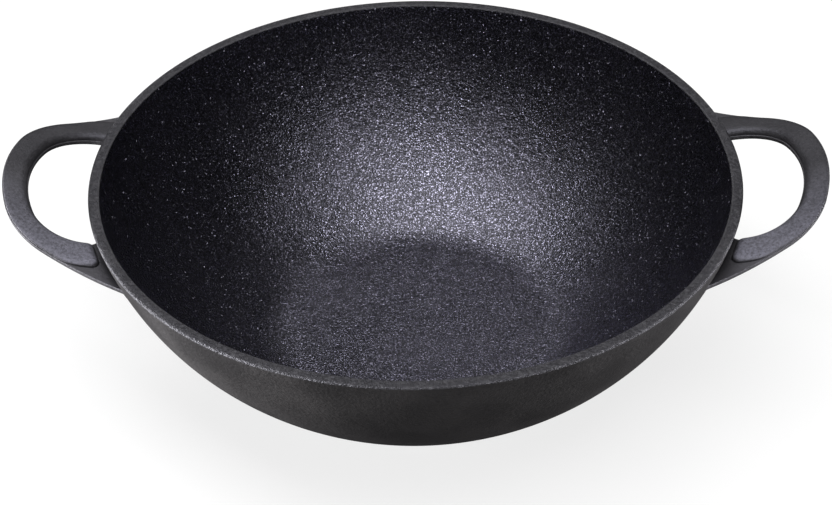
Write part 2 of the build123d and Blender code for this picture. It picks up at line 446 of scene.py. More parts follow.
def paint_sides(bm, shape):
    """Give the faces outside the wall's middle arc the second material."""
    for face in bm.faces:
        middle = face.calc_center_median()
        across = math.hypot(middle.x, middle.y) - shape.centre.x
        reach = math.hypot(across, middle.z - shape.centre.z)
        face.material_index = int(reach > shape.outer - shape.sizes.wall_thickness / 2)


class KADAI_OT_bowl_floor(bpy.types.Operator):
    """Build the flat disc in the middle of the floor"""

    bl_idname = "kadai.bowl_floor"
    bl_label = "Bowl floor"

    def execute(self, context):
        sizes = context.scene.kadai_bowl
        bm = turned_part(BowlShape(sizes), [((sizes.floor_disc_radius, 0, 0), (1, 0, 0))])
        for face in bm.faces:
            face.material_index = int(face.calc_center_median().z < sizes.floor_thickness - WELD)
        finish_piece(bm, "floor_disc", "bowl_floor", irons("inside", "outside"))
        return {"FINISHED"}


class KADAI_OT_bowl_wall(bpy.types.Operator):
    """Build the wall from the floor disc up to the rim's band"""

    bl_idname = "kadai.bowl_wall"
    bl_label = "Bowl wall"

    def execute(self, context):
        sizes = context.scene.kadai_bowl
        shape = BowlShape(sizes)
        bm = turned_part(shape, [
            ((sizes.floor_disc_radius, 0, 0), (-1, 0, 0)),
            ((0, 0, sizes.height - sizes.rim_band_height), (0, 0, 1))])
        paint_sides(bm, shape)
        finish_piece(bm, "wall_shell", "bowl_wall", irons("inside", "outside"))
        return {"FINISHED"}


class KADAI_OT_rim(bpy.types.Operator):
    """Build the band that ends in the ground rim"""

    bl_idname = "kadai.rim"
    bl_label = "Ground rim"

    def execute(self, context):
        sizes = context.scene.kadai_bowl
        shape = BowlShape(sizes)
        bm = turned_part(shape, [((0, 0, sizes.height - sizes.rim_band_height), (0, 0, -1))])
        paint_sides(bm, shape)
        for face in bm.faces:
            if face.calc_center_median().z > sizes.height - sizes.rim_inner_edge:
                face.material_index = 2
        finish_piece(
            bm, "rim_band_ring", "rim_band", irons("inside", "outside", "rim"))
        return {"FINISHED"}


# The handles: a plan drawn on one side, mirrored, raised in rings, cut in slices and bent

UP = Vector((0, 0, 1))
DOWN = Vector((0, 0, -1))
AHEAD = Vector((1, 0, 0))
END_STEPS = 16
CORNER_STEPS = 26
GAP_CORNER_STEPS = 28
OUTER_FILLET_STEPS = 12
HIDDEN_STEPS = 24
FINGER_FILLET_STEPS = 10
CUSHION_SIDE_STEPS = 14
CUSHION_CORNER_STEPS = 8
CUSHION_END_STEPS = 6


def polar(centre, radius, turn):
    """Place at this radius and turn from a centre in the plan."""
    return Vector((centre[0] + radius * math.cos(turn), centre[1] + radius * math.sin(turn), 0))


def along_to_circle(start, direction, radius):
    """Where a line meets a circle about the bowl's axis, first ahead of its start, then behind."""
    middle = -start.dot(direction)
    reach = math.sqrt(middle**2 - start.length_squared + radius**2)
    return start + direction * (middle + reach), start + direction * (middle - reach)


def turn_of(place):
    """Turn of a place about the bowl's axis."""
    return math.atan2(place.y, place.x)


class HandleShape:
    """Places of a handle's plan and side view, derived from its sizes."""

    def __init__(self, bowl, sizes):
        self.sizes = sizes
        self.bowl = bowl
        self.tip = bowl.sizes.rim_radius + sizes.reach
        self.top = bowl.sizes.height - sizes.drop
        self.ledge = self.top - sizes.cushion_height
        self.under = self.top - sizes.root_thickness
        self.foot = bowl.radius_at(bowl.outer, self.under)
        self.hidden = bowl.radius_at(bowl.outer, self.ledge) - bowl.sizes.wall_thickness / 2
        self.end_centre = Vector((self.tip - sizes.end_radius, 0, 0))
        self.corner_centre = polar(
            self.end_centre, sizes.end_radius - sizes.corner_radius, sizes.end_half_angle)
        self.gap_end_centre = Vector((self.tip - sizes.bar_width - sizes.finger_end_radius, 0, 0))
        self.gap_corner_centre = polar(
            self.gap_end_centre, sizes.finger_end_radius - sizes.finger_corner_radius,
            sizes.finger_half_angle)
        self.gap_half = self.gap_corner_centre.y + sizes.finger_corner_radius
        self.side_turn = math.pi / 2 - sizes.side_angle
        self.side_normal = polar((0, 0), 1, self.side_turn)
        self.side_course = Vector((-self.side_normal.y, self.side_normal.x, 0))

    def draw_tip(self, bm, inset):
        """Draw the outline's end and corner, drawn in by an inset, and return where it stops."""
        sizes = self.sizes
        tip = bm.verts.new((self.tip - inset, 0, 0))
        corner_turn = self.side_turn - sizes.end_half_angle
        tip = swing(bm, tip, self.end_centre, UP, sizes.end_half_angle, END_STEPS)
        return swing(bm, tip, self.corner_centre, UP, corner_turn, CORNER_STEPS)

    def draw_gap(self, bm, tip, inset):
        """Draw the finger gap's corner and end, let out by an inset, back to the middle."""
        sizes = self.sizes
        turn = math.pi / 2 - sizes.finger_half_angle
        tip = run_to(bm, tip, polar(
            self.gap_corner_centre, sizes.finger_corner_radius + inset, math.pi / 2))
        tip = swing(bm, tip, self.gap_corner_centre, DOWN, turn, GAP_CORNER_STEPS)
        return swing(bm, tip, self.gap_end_centre, DOWN, sizes.finger_half_angle, END_STEPS)

    def draw_web(self, bm):
        """Draw half of the web's plan: it runs into the wall with a blend on either side."""
        sizes = self.sizes
        blend = sizes.root_outer_fillet
        start = polar(self.corner_centre, sizes.corner_radius + blend, self.side_turn)
        centre = along_to_circle(start, self.side_course, self.foot + blend)[1]
        gap_blend = sizes.root_finger_fillet
        gap_centre = along_to_circle(
            Vector((0, self.gap_half - gap_blend, 0)), AHEAD, self.foot + gap_blend)[0]
        outer_turn, gap_turn = turn_of(centre), turn_of(gap_centre)
        tip = self.draw_tip(bm, 0)
        tip = run_to(bm, tip, centre - self.side_normal * blend)
        tip = swing(bm, tip, centre, DOWN, self.side_turn - outer_turn, OUTER_FILLET_STEPS)
        tip = run_to(bm, tip, polar((0, 0), self.hidden, outer_turn))
        tip = swing(bm, tip, (0, 0, 0), DOWN, outer_turn - gap_turn, HIDDEN_STEPS)
        tip = run_to(bm, tip, polar((0, 0), self.foot, gap_turn))
        tip = swing(bm, tip, gap_centre, DOWN, math.pi / 2 + gap_turn, FINGER_FILLET_STEPS)
        self.draw_gap(bm, tip, 0)

    def draw_cushion(self, bm):
        """Draw half of the cushion's plan: it turns along the arm and ends short of the wall."""
        sizes = self.sizes
        ledge = sizes.cushion_ledge
        corner = sizes.cushion_end_corner - ledge
        half_span = sizes.cushion_half_span - ledge
        side_radius = sizes.cushion_side_radius - ledge
        wall = self.bowl.radius_at(self.bowl.outer, self.top) + sizes.cushion_wall_gap + ledge
        course = self.side_course
        start = polar(self.corner_centre, sizes.corner_radius - ledge - side_radius, self.side_turn)
        side_centre = start + course * ((half_span - side_radius - start.y) / course.y)
        outer_end = along_to_circle(
            Vector((0, half_span - corner, 0)), AHEAD, wall + corner)[0]
        inner_end = along_to_circle(
            Vector((0, self.gap_half + ledge + corner, 0)), AHEAD, wall + corner)[0]
        outer_turn, inner_turn = turn_of(outer_end), turn_of(inner_end)
        tip = self.draw_tip(bm, ledge)
        tip = run_to(bm, tip, polar(side_centre, side_radius, self.side_turn))
        tip = swing(bm, tip, side_centre, UP, math.pi / 2 - self.side_turn, CUSHION_SIDE_STEPS)
        tip = run_to(bm, tip, polar(outer_end, corner, math.pi / 2))
        tip = swing(bm, tip, outer_end, UP, math.pi / 2 + outer_turn, CUSHION_CORNER_STEPS)
        tip = swing(bm, tip, (0, 0, 0), DOWN, outer_turn - inner_turn, CUSHION_END_STEPS)
        tip = swing(bm, tip, inner_end, UP, math.pi / 2 - inner_turn, CUSHION_CORNER_STEPS)
        self.draw_gap(bm, tip, ledge)

    def depth_of(self, place):
        """How far a place lies inside the grip's outline."""
        place = Vector((place.x, abs(place.y), 0))
        from_end = place - self.end_centre
        from_corner = place - self.corner_centre
        if turn_of(from_end) < self.sizes.end_half_angle:
            return self.sizes.end_radius - from_end.length
        if turn_of(from_corner) < self.side_turn:
            return self.sizes.corner_radius - from_corner.length
        return self.sizes.corner_radius - from_corner.dot(self.side_normal)

    def rise(self, place):
        """How far a place of the level handle is lifted by the climb of the arms."""
        sizes = self.sizes
        start = self.bowl.sizes.rim_radius - sizes.climb_inset
        taper = sizes.root_thickness - sizes.tip_thickness
        depth = max(self.ledge - place.z, 0) / (self.ledge - self.under)
        climb = sizes.climb + taper * depth
        run = self.tip - start
        radius = (run**2 + climb**2) / (2 * climb)
        ahead = max(place.x - start, 0)
        return radius - math.sqrt(radius**2 - ahead**2)


def whole_plan(bm, height):
    """Mirror the half plan, close it and bring it to a height."""
    bmesh.ops.mirror(
        bm, geom=bm.verts[:] + bm.edges[:], matrix=Matrix.Identity(4), merge_dist=WELD, axis="Y")
    plan = fill_chain(bm)
    bmesh.ops.translate(bm, verts=bm.verts[:], vec=(0, 0, height))
    return plan


def lift_plan(bm, plan, height):
    """Extrude the plan upward and return its upper face."""
    lifted = bmesh.ops.extrude_face_region(bm, geom=[plan], use_keep_orig=True)
    upper = next(item for item in lifted["geom"] if isinstance(item, bmesh.types.BMFace))
    bmesh.ops.translate(bm, verts=upper.verts[:], vec=(0, 0, height))
    return upper


def round_over(bm, face, width, rise, steps):
    """Inset a level face in rings that follow a quarter of an ellipse."""
    bmesh.ops.recalc_face_normals(bm, faces=bm.faces[:])
    level = face.verts[0].co.z
    before = 0
    for step in range(1, steps + 1):
        turn = math.pi / 2 * step / steps
        inset = width * (1 - math.cos(turn))
        bmesh.ops.inset_region(
            bm, faces=[face], thickness=inset - before, depth=0, use_boundary=True,
            use_even_offset=True)
        before = inset
        for vertex in face.verts:
            vertex.co.z = level + rise * math.sin(turn)


def slice_along(bm, course, first, last, count):
    """Cut a mesh by planes across a course, evenly spaced from the first place on."""
    for step in range(count):
        everything = bm.verts[:] + bm.edges[:] + bm.faces[:]
        place = course * (first + (last - first) * step / count)
        bmesh.ops.bisect_plane(bm, geom=everything, dist=WELD, plane_co=place, plane_no=course)


def slice_and_bend(bm, shape):
    """Cut a level handle in slices and lift them along the climb."""
    start = shape.bowl.sizes.rim_radius - shape.sizes.climb_inset
    count = math.ceil((shape.tip - start) / shape.sizes.slice_width)
    slice_along(bm, AHEAD, start, shape.tip, count)
    for vertex in bm.verts:
        vertex.co.z += shape.rise(vertex.co)


def lean_top(bm, shape):
    """Let the cushion's top fall towards its outer side."""
    sizes = shape.sizes
    half = sizes.cushion_half_span
    slice_along(bm, CLOCK, -half, half, math.ceil(half / sizes.slice_width))
    for vertex in bm.verts:
        if vertex.co.z > shape.ledge:
            near = max(0, 1 - shape.depth_of(vertex.co) / sizes.bar_width)
            vertex.co.z -= (vertex.co.z - shape.ledge) * sizes.cushion_fall * near


def make_web(shape):
    """The lower layer: the grip's full plan with rounded edges underneath."""
    sizes = shape.sizes
    bm = bmesh.new()
    shape.draw_web(bm)
    top_edge, under_edge = 0.3 * MM, sizes.underside_edge
    plan = whole_plan(bm, shape.under + under_edge)
    upper = lift_plan(bm, plan, shape.ledge - shape.under - under_edge - top_edge)
    round_over(bm, upper, top_edge, top_edge, 3)
    round_over(bm, plan, under_edge, -under_edge, 5)
    slice_and_bend(bm, shape)
    return bm


def make_cushion(shape):
    """The upper layer: a pillow that swells from its parting line to its crown."""
    sizes = shape.sizes
    bm = bmesh.new()
    shape.draw_cushion(bm)
    sunk, foot = 0.1 * MM, 0.35 * MM
    plan = whole_plan(bm, shape.ledge - sunk)
    upper = lift_plan(bm, plan, foot + sunk)
    swell = sizes.cushion_end_corner - sizes.cushion_ledge - sunk
    round_over(bm, upper, swell, sizes.cushion_height - foot, 10)
    lean_top(bm, shape)
    slice_and_bend(bm, shape)
    return bm


def whole_handle(scene):
    """Web and cushion of the handle on the +X side, in one mesh."""
    shape = HandleShape(BowlShape(scene.kadai_bowl), scene.kadai_handle)
    bm = make_web(shape)
    cushion = make_cushion(shape)
    for face in cushion.faces:
        face.material_index = 1
    held = bpy.data.meshes.new("cushion_held")
    cushion.to_mesh(held)
    cushion.free()
    bm.from_mesh(held)
    bpy.data.meshes.remove(held)
    return bm


def handle_piece(scene, name, node, cuts, left):
    """Cut one piece out of the whole handle, turn it to its side and finish it."""
    bm = whole_handle(scene)
    for place, normal in cuts:
        cut_off(bm, place, normal)
    if left:
        bmesh.ops.scale(bm, verts=bm.verts[:], vec=(-1, 1, 1))
    finish_piece(bm, name, node, irons("web", "cushion"))


ROOT_END = Vector((GRIP_NODE_LOW.x, 0, 0))
KEEP_GRIP = (ROOT_END, (-1, 0, 0))
KEEP_ROOTS = (ROOT_END, (1, 0, 0))
KEEP_FRONT = ((0, 0, 0), (0, 1, 0))
KEEP_REAR = ((0, 0, 0), (0, -1, 0))


class KADAI_OT_grips(bpy.types.Operator):
    """Build the two loop grips beyond their roots"""

    bl_idname = "kadai.grips"
    bl_label = "Loop grips"

    def execute(self, context):
        handle_piece(context.scene, "right_loop", "right_grip", [KEEP_GRIP], False)
        handle_piece(context.scene, "left_loop", "left_grip", [KEEP_GRIP], True)
        return {"FINISHED"}


class KADAI_OT_roots(bpy.types.Operator):
    """Build the four roots, where the arms run into the wall"""

    bl_idname = "kadai.roots"
    bl_label = "Roots"

    def execute(self, context):
        scene = context.scene
        front = [KEEP_ROOTS, KEEP_FRONT]
        rear = [KEEP_ROOTS, KEEP_REAR]
        handle_piece(scene, "right_front_arm", "right_front_root", front, False)
        handle_piece(scene, "right_rear_arm", "right_rear_root", rear, False)
        handle_piece(scene, "left_front_arm", "left_front_root", front, True)
        handle_piece(scene, "left_rear_arm", "left_rear_root", rear, True)
        return {"FINISHED"}


# Finishes: node groups that several irons share, then one material for each iron. Scales are in
# grains to the metre, and a gloss is the film's roughness where it is thick and where it is thin.

INSIDE_GLOSS = (0.24, 0.31)
OUTSIDE_GLOSS = (0.45, 0.60)
WEB_GLOSS = (0.45, 0.58)
CUSHION_GLOSS = (0.42, 0.55)
RIM_GLOSS = (0.48, 0.60)
THIN_FILM = 2.6
THIN_RIM_FILM = 1.6
CLOUD_SCALE = 24.0
PATCH_SCALE = 130.0
RIM_GRIT_SCALE = 700.0
GRIT_SCALE = 900.0


def new_group(name, inputs, outputs):
    """Start a shader node group with these inputs and outputs."""
    group = bpy.data.node_groups.new(name, "ShaderNodeTree")
    for label, kind, default in inputs:
        socket = group.interface.new_socket(label, in_out="INPUT", socket_type=kind)
        if default is not None:
            socket.default_value = default
    for label, kind in outputs:
        group.interface.new_socket(label, in_out="OUTPUT", socket_type=kind)
    group.nodes.new("NodeGroupInput").name = "In"
    group.nodes.new("NodeGroupOutput").name = "Out"
    return group


def add_node(tree, kind, name="", **settings):
    """Add a node; settings that name an input set or link it, the others set the node itself."""
    node = tree.nodes.new(kind)
    if name:
        node.name = name
    for key, value in settings.items():
        setattr(node, key, value)
    return node


def feed(tree, node, **values):
    """Give a node's inputs, named with underscores for spaces, their values or links."""
    for key, value in values.items():
        socket = node.inputs[key.replace("_", " ")]
        if isinstance(value, bpy.types.NodeSocket):
            tree.links.new(value, socket)
        else:
            socket.default_value = value
    return node


def sum_up(tree, operation, first, second=None, third=None):
    """One Math node on up to three values or links."""
    node = tree.nodes.new("ShaderNodeMath")
    node.operation = operation
    for socket, value in zip(node.inputs, (first, second, third)):
        if isinstance(value, bpy.types.NodeSocket):
            tree.links.new(value, socket)
        elif value is not None:
            socket.default_value = value
    return node.outputs[0]


def noise(tree, vector, scale, detail=2.0, roughness=0.5):
    """A noise texture whose scale is a number or a link."""
    node = add_node(tree, "ShaderNodeTexNoise")
    feed(tree, node, Vector=vector, Scale=scale, Detail=detail, Roughness=roughness)
    return node.outputs["Fac"]


def ripple_group():
    """Orange peel: soft ripples with a finer tooth on them, as a height in metres."""
    group = new_group(
        "casting_ripple",
        [("Vector", "NodeSocketVector", None), ("Size", "NodeSocketFloat", 0.0015),
         ("Depth", "NodeSocketFloat", 0.0001), ("Tooth", "NodeSocketFloat", 0.3)],
        [("Height", "NodeSocketFloat")])
    ins = group.nodes["In"].outputs
    scale = sum_up(group, "DIVIDE", 0.62, ins["Size"])
    soft = noise(group, ins["Vector"], scale, 1.2, 0.45)
    tooth = noise(group, ins["Vector"], sum_up(group, "MULTIPLY", scale, 2.7), 2.0, 0.55)
    height = sum_up(group, "MULTIPLY_ADD", tooth, ins["Tooth"], soft)
    group.links.new(sum_up(group, "MULTIPLY", height, ins["Depth"]), group.nodes["Out"].inputs[0])
    return group


def speckle_group():
    """Fine pits, as a height in metres, and a mask of the bare tops between them."""
    group = new_group(
        "casting_speckle",
        [("Vector", "NodeSocketVector", None), ("Size", "NodeSocketFloat", 0.001),
         ("Depth", "NodeSocketFloat", 0.0001), ("Bare", "NodeSocketFloat", 0.5)],
        [("Height", "NodeSocketFloat"), ("Tops", "NodeSocketFloat")])
    ins = group.nodes["In"].outputs
    scale = sum_up(group, "DIVIDE", 1.0, ins["Size"])
    cells = add_node(group, "ShaderNodeTexVoronoi", feature="SMOOTH_F1")
    feed(group, cells, Vector=ins["Vector"], Scale=scale, Smoothness=0.35, Randomness=1.0)
    fine = noise(group, ins["Vector"], sum_up(group, "MULTIPLY", scale, 1.9), 2.0, 0.6)
    pits = sum_up(group, "MULTIPLY_ADD", fine, 0.7, cells.outputs["Distance"])
    height = sum_up(group, "MULTIPLY", pits, ins["Depth"])
    group.links.new(height, group.nodes["Out"].inputs["Height"])
    grains = noise(group, ins["Vector"], sum_up(group, "MULTIPLY", scale, 1.1), 2.0, 0.6)
    tops = add_node(group, "ShaderNodeMapRange", interpolation_type="SMOOTHSTEP")
    least = sum_up(group, "SUBTRACT", 0.62, sum_up(group, "MULTIPLY", ins["Bare"], 0.2))
    feed(group, tops, Value=grains, From_Min=least, From_Max=sum_up(group, "ADD", least, 0.17))
    group.links.new(tops.outputs["Result"], group.nodes["Out"].inputs["Tops"])
    return group


def facet_group():
    """Single tilted grains, strewn thinly, that flash wherever a lamp stands."""
    group = new_group(
        "loose_facets",
        [("Vector", "NodeSocketVector", None), ("Normal", "NodeSocketVector", None),
         ("Size", "NodeSocketFloat", 0.0005), ("Share", "NodeSocketFloat", 0.1),
         ("Tilt", "NodeSocketFloat", 0.8)],
        [("Normal", "NodeSocketVector")])
    ins = group.nodes["In"].outputs
    cells = add_node(group, "ShaderNodeTexVoronoi")
    feed(group, cells, Vector=ins["Vector"], Scale=sum_up(group, "DIVIDE", 1.0, ins["Size"]))
    draw = add_node(group, "ShaderNodeTexWhiteNoise")
    feed(group, draw, Vector=cells.outputs["Color"])
    chosen = sum_up(group, "LESS_THAN", draw.outputs["Value"], ins["Share"])
    core = sum_up(group, "LESS_THAN", cells.outputs["Distance"], 0.5)
    reach = sum_up(group, "MULTIPLY", sum_up(group, "MULTIPLY", chosen, core), ins["Tilt"])
    lean = add_node(group, "ShaderNodeVectorMath", operation="SUBTRACT")
    group.links.new(cells.outputs["Color"], lean.inputs[0])
    lean.inputs[1].default_value = (0.5, 0.5, 0.5)
    push = add_node(group, "ShaderNodeVectorMath", operation="SCALE")
    feed(group, push, Vector=lean.outputs[0], Scale=reach)
    tilted = add_node(group, "ShaderNodeVectorMath", operation="ADD")
    group.links.new(ins["Normal"], tilted.inputs[0])
    group.links.new(push.outputs[0], tilted.inputs[1])
    even = add_node(group, "ShaderNodeVectorMath", operation="NORMALIZE")
    group.links.new(tilted.outputs[0], even.inputs[0])
    group.links.new(even.outputs[0], group.nodes["Out"].inputs["Normal"])
    return group


def seasoning_group():
    """Baked oil film: its colour drifts in clouds and its gloss breaks up."""
    group = new_group(
        "seasoning_film",
        [("Vector", "NodeSocketVector", None), ("Colour", "NodeSocketColor", (0.02, 0.02, 0.02, 1)),
         ("Thin Colour", "NodeSocketColor", (0.05, 0.05, 0.05, 1)),
         ("Drift", "NodeSocketFloat", 0.5),
         ("Gloss Low", "NodeSocketFloat", 0.36), ("Gloss High", "NodeSocketFloat", 0.52)],
        [("Colour", "NodeSocketColor"), ("Roughness", "NodeSocketFloat")])
    ins = group.nodes["In"].outputs
    clouds = noise(group, ins["Vector"], CLOUD_SCALE, 3.0, 0.55)
    grit = noise(group, ins["Vector"], GRIT_SCALE, 2.0, 0.6)
    both = sum_up(group, "MULTIPLY_ADD", grit, 0.45, sum_up(group, "MULTIPLY", clouds, 0.7))
    thin = add_node(group, "ShaderNodeMapRange", interpolation_type="SMOOTHSTEP")
    feed(group, thin, Value=both, From_Min=0.42, From_Max=0.78)
    amount = sum_up(group, "MULTIPLY", thin.outputs["Result"], ins["Drift"])
    colour = add_node(group, "ShaderNodeMix", data_type="RGBA")
    group.links.new(amount, colour.inputs[0])
    group.links.new(ins["Colour"], colour.inputs[6])
    group.links.new(ins["Thin Colour"], colour.inputs[7])
    group.links.new(colour.outputs[2], group.nodes["Out"].inputs["Colour"])
    gloss = add_node(group, "ShaderNodeMapRange")
    feed(group, gloss, Value=both, From_Min=0.3, From_Max=0.85,
         To_Min=ins["Gloss Low"], To_Max=ins["Gloss High"])
    group.links.new(gloss.outputs["Result"], group.nodes["Out"].inputs["Roughness"])
    return group


def ring_group():
    """A band about the bowl's axis, at a radius and with a width, as a mask with soft sides."""
    group = new_group(
        "ring_band",
        [("Vector", "NodeSocketVector", None), ("Radius", "NodeSocketFloat", 0.13),
         ("Width", "NodeSocketFloat", 0.001), ("Softness", "NodeSocketFloat", 0.0005)],
        [("Mask", "NodeSocketFloat")])
    ins = group.nodes["In"].outputs
    parts = add_node(group, "ShaderNodeSeparateXYZ")
    group.links.new(ins["Vector"], parts.inputs[0])
    square = sum_up(group, "MULTIPLY_ADD", parts.outputs["X"], parts.outputs["X"],
                    sum_up(group, "MULTIPLY", parts.outputs["Y"], parts.outputs["Y"]))
    away = sum_up(group, "ABSOLUTE", sum_up(
        group, "SUBTRACT", sum_up(group, "SQRT", square), ins["Radius"]))
    half = sum_up(group, "MULTIPLY", ins["Width"], 0.5)
    mask = add_node(group, "ShaderNodeMapRange", interpolation_type="SMOOTHSTEP")
    feed(group, mask, Value=away, From_Min=half,
         From_Max=sum_up(group, "ADD", half, ins["Softness"]), To_Min=1.0, To_Max=0.0)
    group.links.new(mask.outputs["Result"], group.nodes["Out"].inputs[0])
    return group


def place_group(tree, group, **values):
    """Place a node group in a tree and feed it."""
    node = tree.nodes.new("ShaderNodeGroup")
    node.node_tree = bpy.data.node_groups[group]
    return feed(tree, node, **values)


def start_material(name):
    """A new material with its nodes, its shader and its object coordinates."""
    material = bpy.data.materials.new(name)
    material.use_nodes = True
    tree = material.node_tree
    shader = tree.nodes["Principled BSDF"]
    shader.inputs["Specular Tint"].default_value = (0.86, 0.85, 1.0, 1.0)
    place = tree.nodes.new("ShaderNodeTexCoord").outputs["Object"]
    return material, tree, shader, place


def bump(tree, shader, height):
    """Lift the surface by a height in metres."""
    node = tree.nodes.new("ShaderNodeBump")
    feed(tree, node, Strength=1.0, Distance=1.0, Height=height)
    tree.links.new(node.outputs[0], shader.inputs["Normal"])


def glints(tree, shader, film, speckle, finish):
    """Let the bare tops of the grains show through the film, as metal, and colour the shader."""
    amount = speckle.outputs["Tops"]
    bare = sum_up(tree, "MINIMUM", sum_up(tree, "MULTIPLY", amount, 4.0), 1.0)
    mix = add_node(tree, "ShaderNodeMix", data_type="RGBA")
    tree.links.new(amount, mix.inputs[0])
    tree.links.new(film.outputs["Colour"], mix.inputs[6])
    mix.inputs[7].default_value = rgba(finish.glint_colour)
    feed(tree, shader, Base_Color=mix.outputs[2], Metallic=bare,
         Roughness=film.outputs["Roughness"])


def rgba(colour):
    """A colour with full cover."""
    return (*colour, 1.0)


def irons(*names):
    """The irons with these names, which are made before the pieces."""
    return [bpy.data.materials[IRONS[name]] for name in names]


IRONS = {
    "inside": "inside_iron",
    "outside": "outside_iron",
    "web": "web_iron",
    "cushion": "cushion_iron",
    "rim": "rim_ground",
}


class KADAI_OT_finishes(bpy.types.Operator):
    """Make the finishes of the iron and the node groups that they share"""

    bl_idname = "kadai.finishes"
    bl_label = "Finishes"

    def execute(self, context):
        finish = context.scene.kadai_finish
        ripple_group()
        speckle_group()
        facet_group()
        seasoning_group()
        ring_group()
        self.inside(finish)
        # The web gets the lighter, lit copy of the handles' iron and the cushions the darker,
        # shaded copy.
        outside, web = finish.outside_colour, finish.web_lit_colour
        self.plain(IRONS["outside"], outside, outside, finish, OUTSIDE_GLOSS, 0.3)
        self.plain(IRONS["web"], web, web, finish, WEB_GLOSS, 0.4)
        # Only the cushions get a painted sheen as their second colour; the outside and the web
        # repeat their own colour.
        self.plain(
            IRONS["cushion"], finish.cushion_shaded_colour, finish.painted_sheen_colour, finish, CUSHION_GLOSS, 0.4)
        self.rim(finish, context.scene.kadai_bowl)
        return {"FINISHED"}

    def inside(self, finish):
        """Inside the bowl: orange peel, pits and tilted grains under a glossy film."""
        tree, shader, place = start_material(IRONS["inside"])[1:]
        film = place_group(
            tree, "seasoning_film", Vector=place, Colour=rgba(finish.inside_colour),
            Thin_Colour=rgba([THIN_FILM * part for part in finish.inside_colour]), Drift=0.6,
            Gloss_Low=INSIDE_GLOSS[0], Gloss_High=INSIDE_GLOSS[1])
        ripple = place_group(
            tree, "casting_ripple", Vector=place, Size=finish.peel_size, Depth=finish.peel_depth,
            Tooth=0.35)
        speckle = place_group(
            tree, "casting_speckle", Vector=place, Size=finish.speckle_size,
            Depth=finish.speckle_depth, Bare=0.60)
        glints(tree, shader, film, speckle, finish)
        rough_floor = place_group(
            tree, "ring_band", Vector=place, Radius=0.0, Width=90 * MM, Softness=20 * MM)
        height = sum_up(tree, "ADD", ripple.outputs["Height"], speckle.outputs["Height"])
        lift = sum_up(tree, "MULTIPLY_ADD", rough_floor.outputs["Mask"], 1.6, 1.0)
        bump(tree, shader, sum_up(tree, "MULTIPLY", height, lift))
        facets = place_group(
            tree, "loose_facets", Vector=place, Normal=shader.inputs["Normal"].links[0].from_socket,
            Size=finish.facet_size, Share=finish.facet_share, Tilt=1.5)
        tree.links.new(facets.outputs["Normal"], shader.inputs["Normal"])

    def plain(self, name, colour, front_sheen, finish, gloss, specular):
        """Sand-cast skin under a thin film, with a painted sheen in a second colour on the front,
        where it faces up.
        """
        tree, shader, place = start_material(name)[1:]
        film = place_group(
            tree, "seasoning_film", Vector=place, Colour=rgba(colour),
            Thin_Colour=rgba([THIN_FILM * part for part in colour]), Drift=0.8,
            Gloss_Low=gloss[0], Gloss_High=gloss[1])
        sand = place_group(
            tree, "casting_ripple", Vector=place, Size=finish.sand_size, Depth=finish.sand_depth,
            Tooth=0.6)
        parts = add_node(tree, "ShaderNodeSeparateXYZ")
        tree.links.new(place, parts.inputs[0])
        # Painted sheen: its share grows towards the front, is broken into grains and is kept to
        # faces that point up.
        front = add_node(tree, "ShaderNodeMapRange")
        feed(tree, front, Value=parts.outputs["Y"], From_Min=0.0, From_Max=-58 * MM)
        grain = noise(tree, place, GRIT_SCALE, 3.0, 0.7)
        sheen_grains = add_node(tree, "ShaderNodeMapRange", interpolation_type="SMOOTHSTEP")
        feed(tree, sheen_grains, Value=grain, From_Min=0.15, From_Max=0.80)
        facing = add_node(tree, "ShaderNodeSeparateXYZ")
        tree.links.new(tree.nodes.new("ShaderNodeNewGeometry").outputs["Normal"], facing.inputs[0])
        upward = add_node(tree, "ShaderNodeMapRange", interpolation_type="SMOOTHSTEP")
        feed(tree, upward, Value=facing.outputs["Z"], From_Min=0.62, From_Max=0.96)
        amount = sum_up(tree, "MULTIPLY", front.outputs["Result"], sheen_grains.outputs["Result"])
        amount = sum_up(tree, "MULTIPLY", amount, upward.outputs["Result"])
        mix = add_node(tree, "ShaderNodeMix", data_type="RGBA")
        tree.links.new(amount, mix.inputs[0])
        tree.links.new(film.outputs["Colour"], mix.inputs[6])
        mix.inputs[7].default_value = rgba(front_sheen)
        shader.inputs["Specular IOR Level"].default_value = specular
        feed(tree, shader, Base_Color=mix.outputs[2], Roughness=film.outputs["Roughness"])
        bump(tree, shader, sand.outputs["Height"])

    def rim(self, finish, bowl):
        """The ground rim: gritty and thinly seasoned, with a painted highlight in patches along its
        inner edge.
        """
        tree, shader, place = start_material(IRONS["rim"])[1:]
        film = place_group(
            tree, "seasoning_film", Vector=place, Colour=rgba(finish.rim_colour),
            Thin_Colour=rgba([THIN_RIM_FILM * part for part in finish.rim_colour]), Drift=0.8,
            Gloss_Low=RIM_GLOSS[0], Gloss_High=RIM_GLOSS[1])
        inner_edge = bowl.rim_radius - bowl.wall_thickness - 0.2 * MM
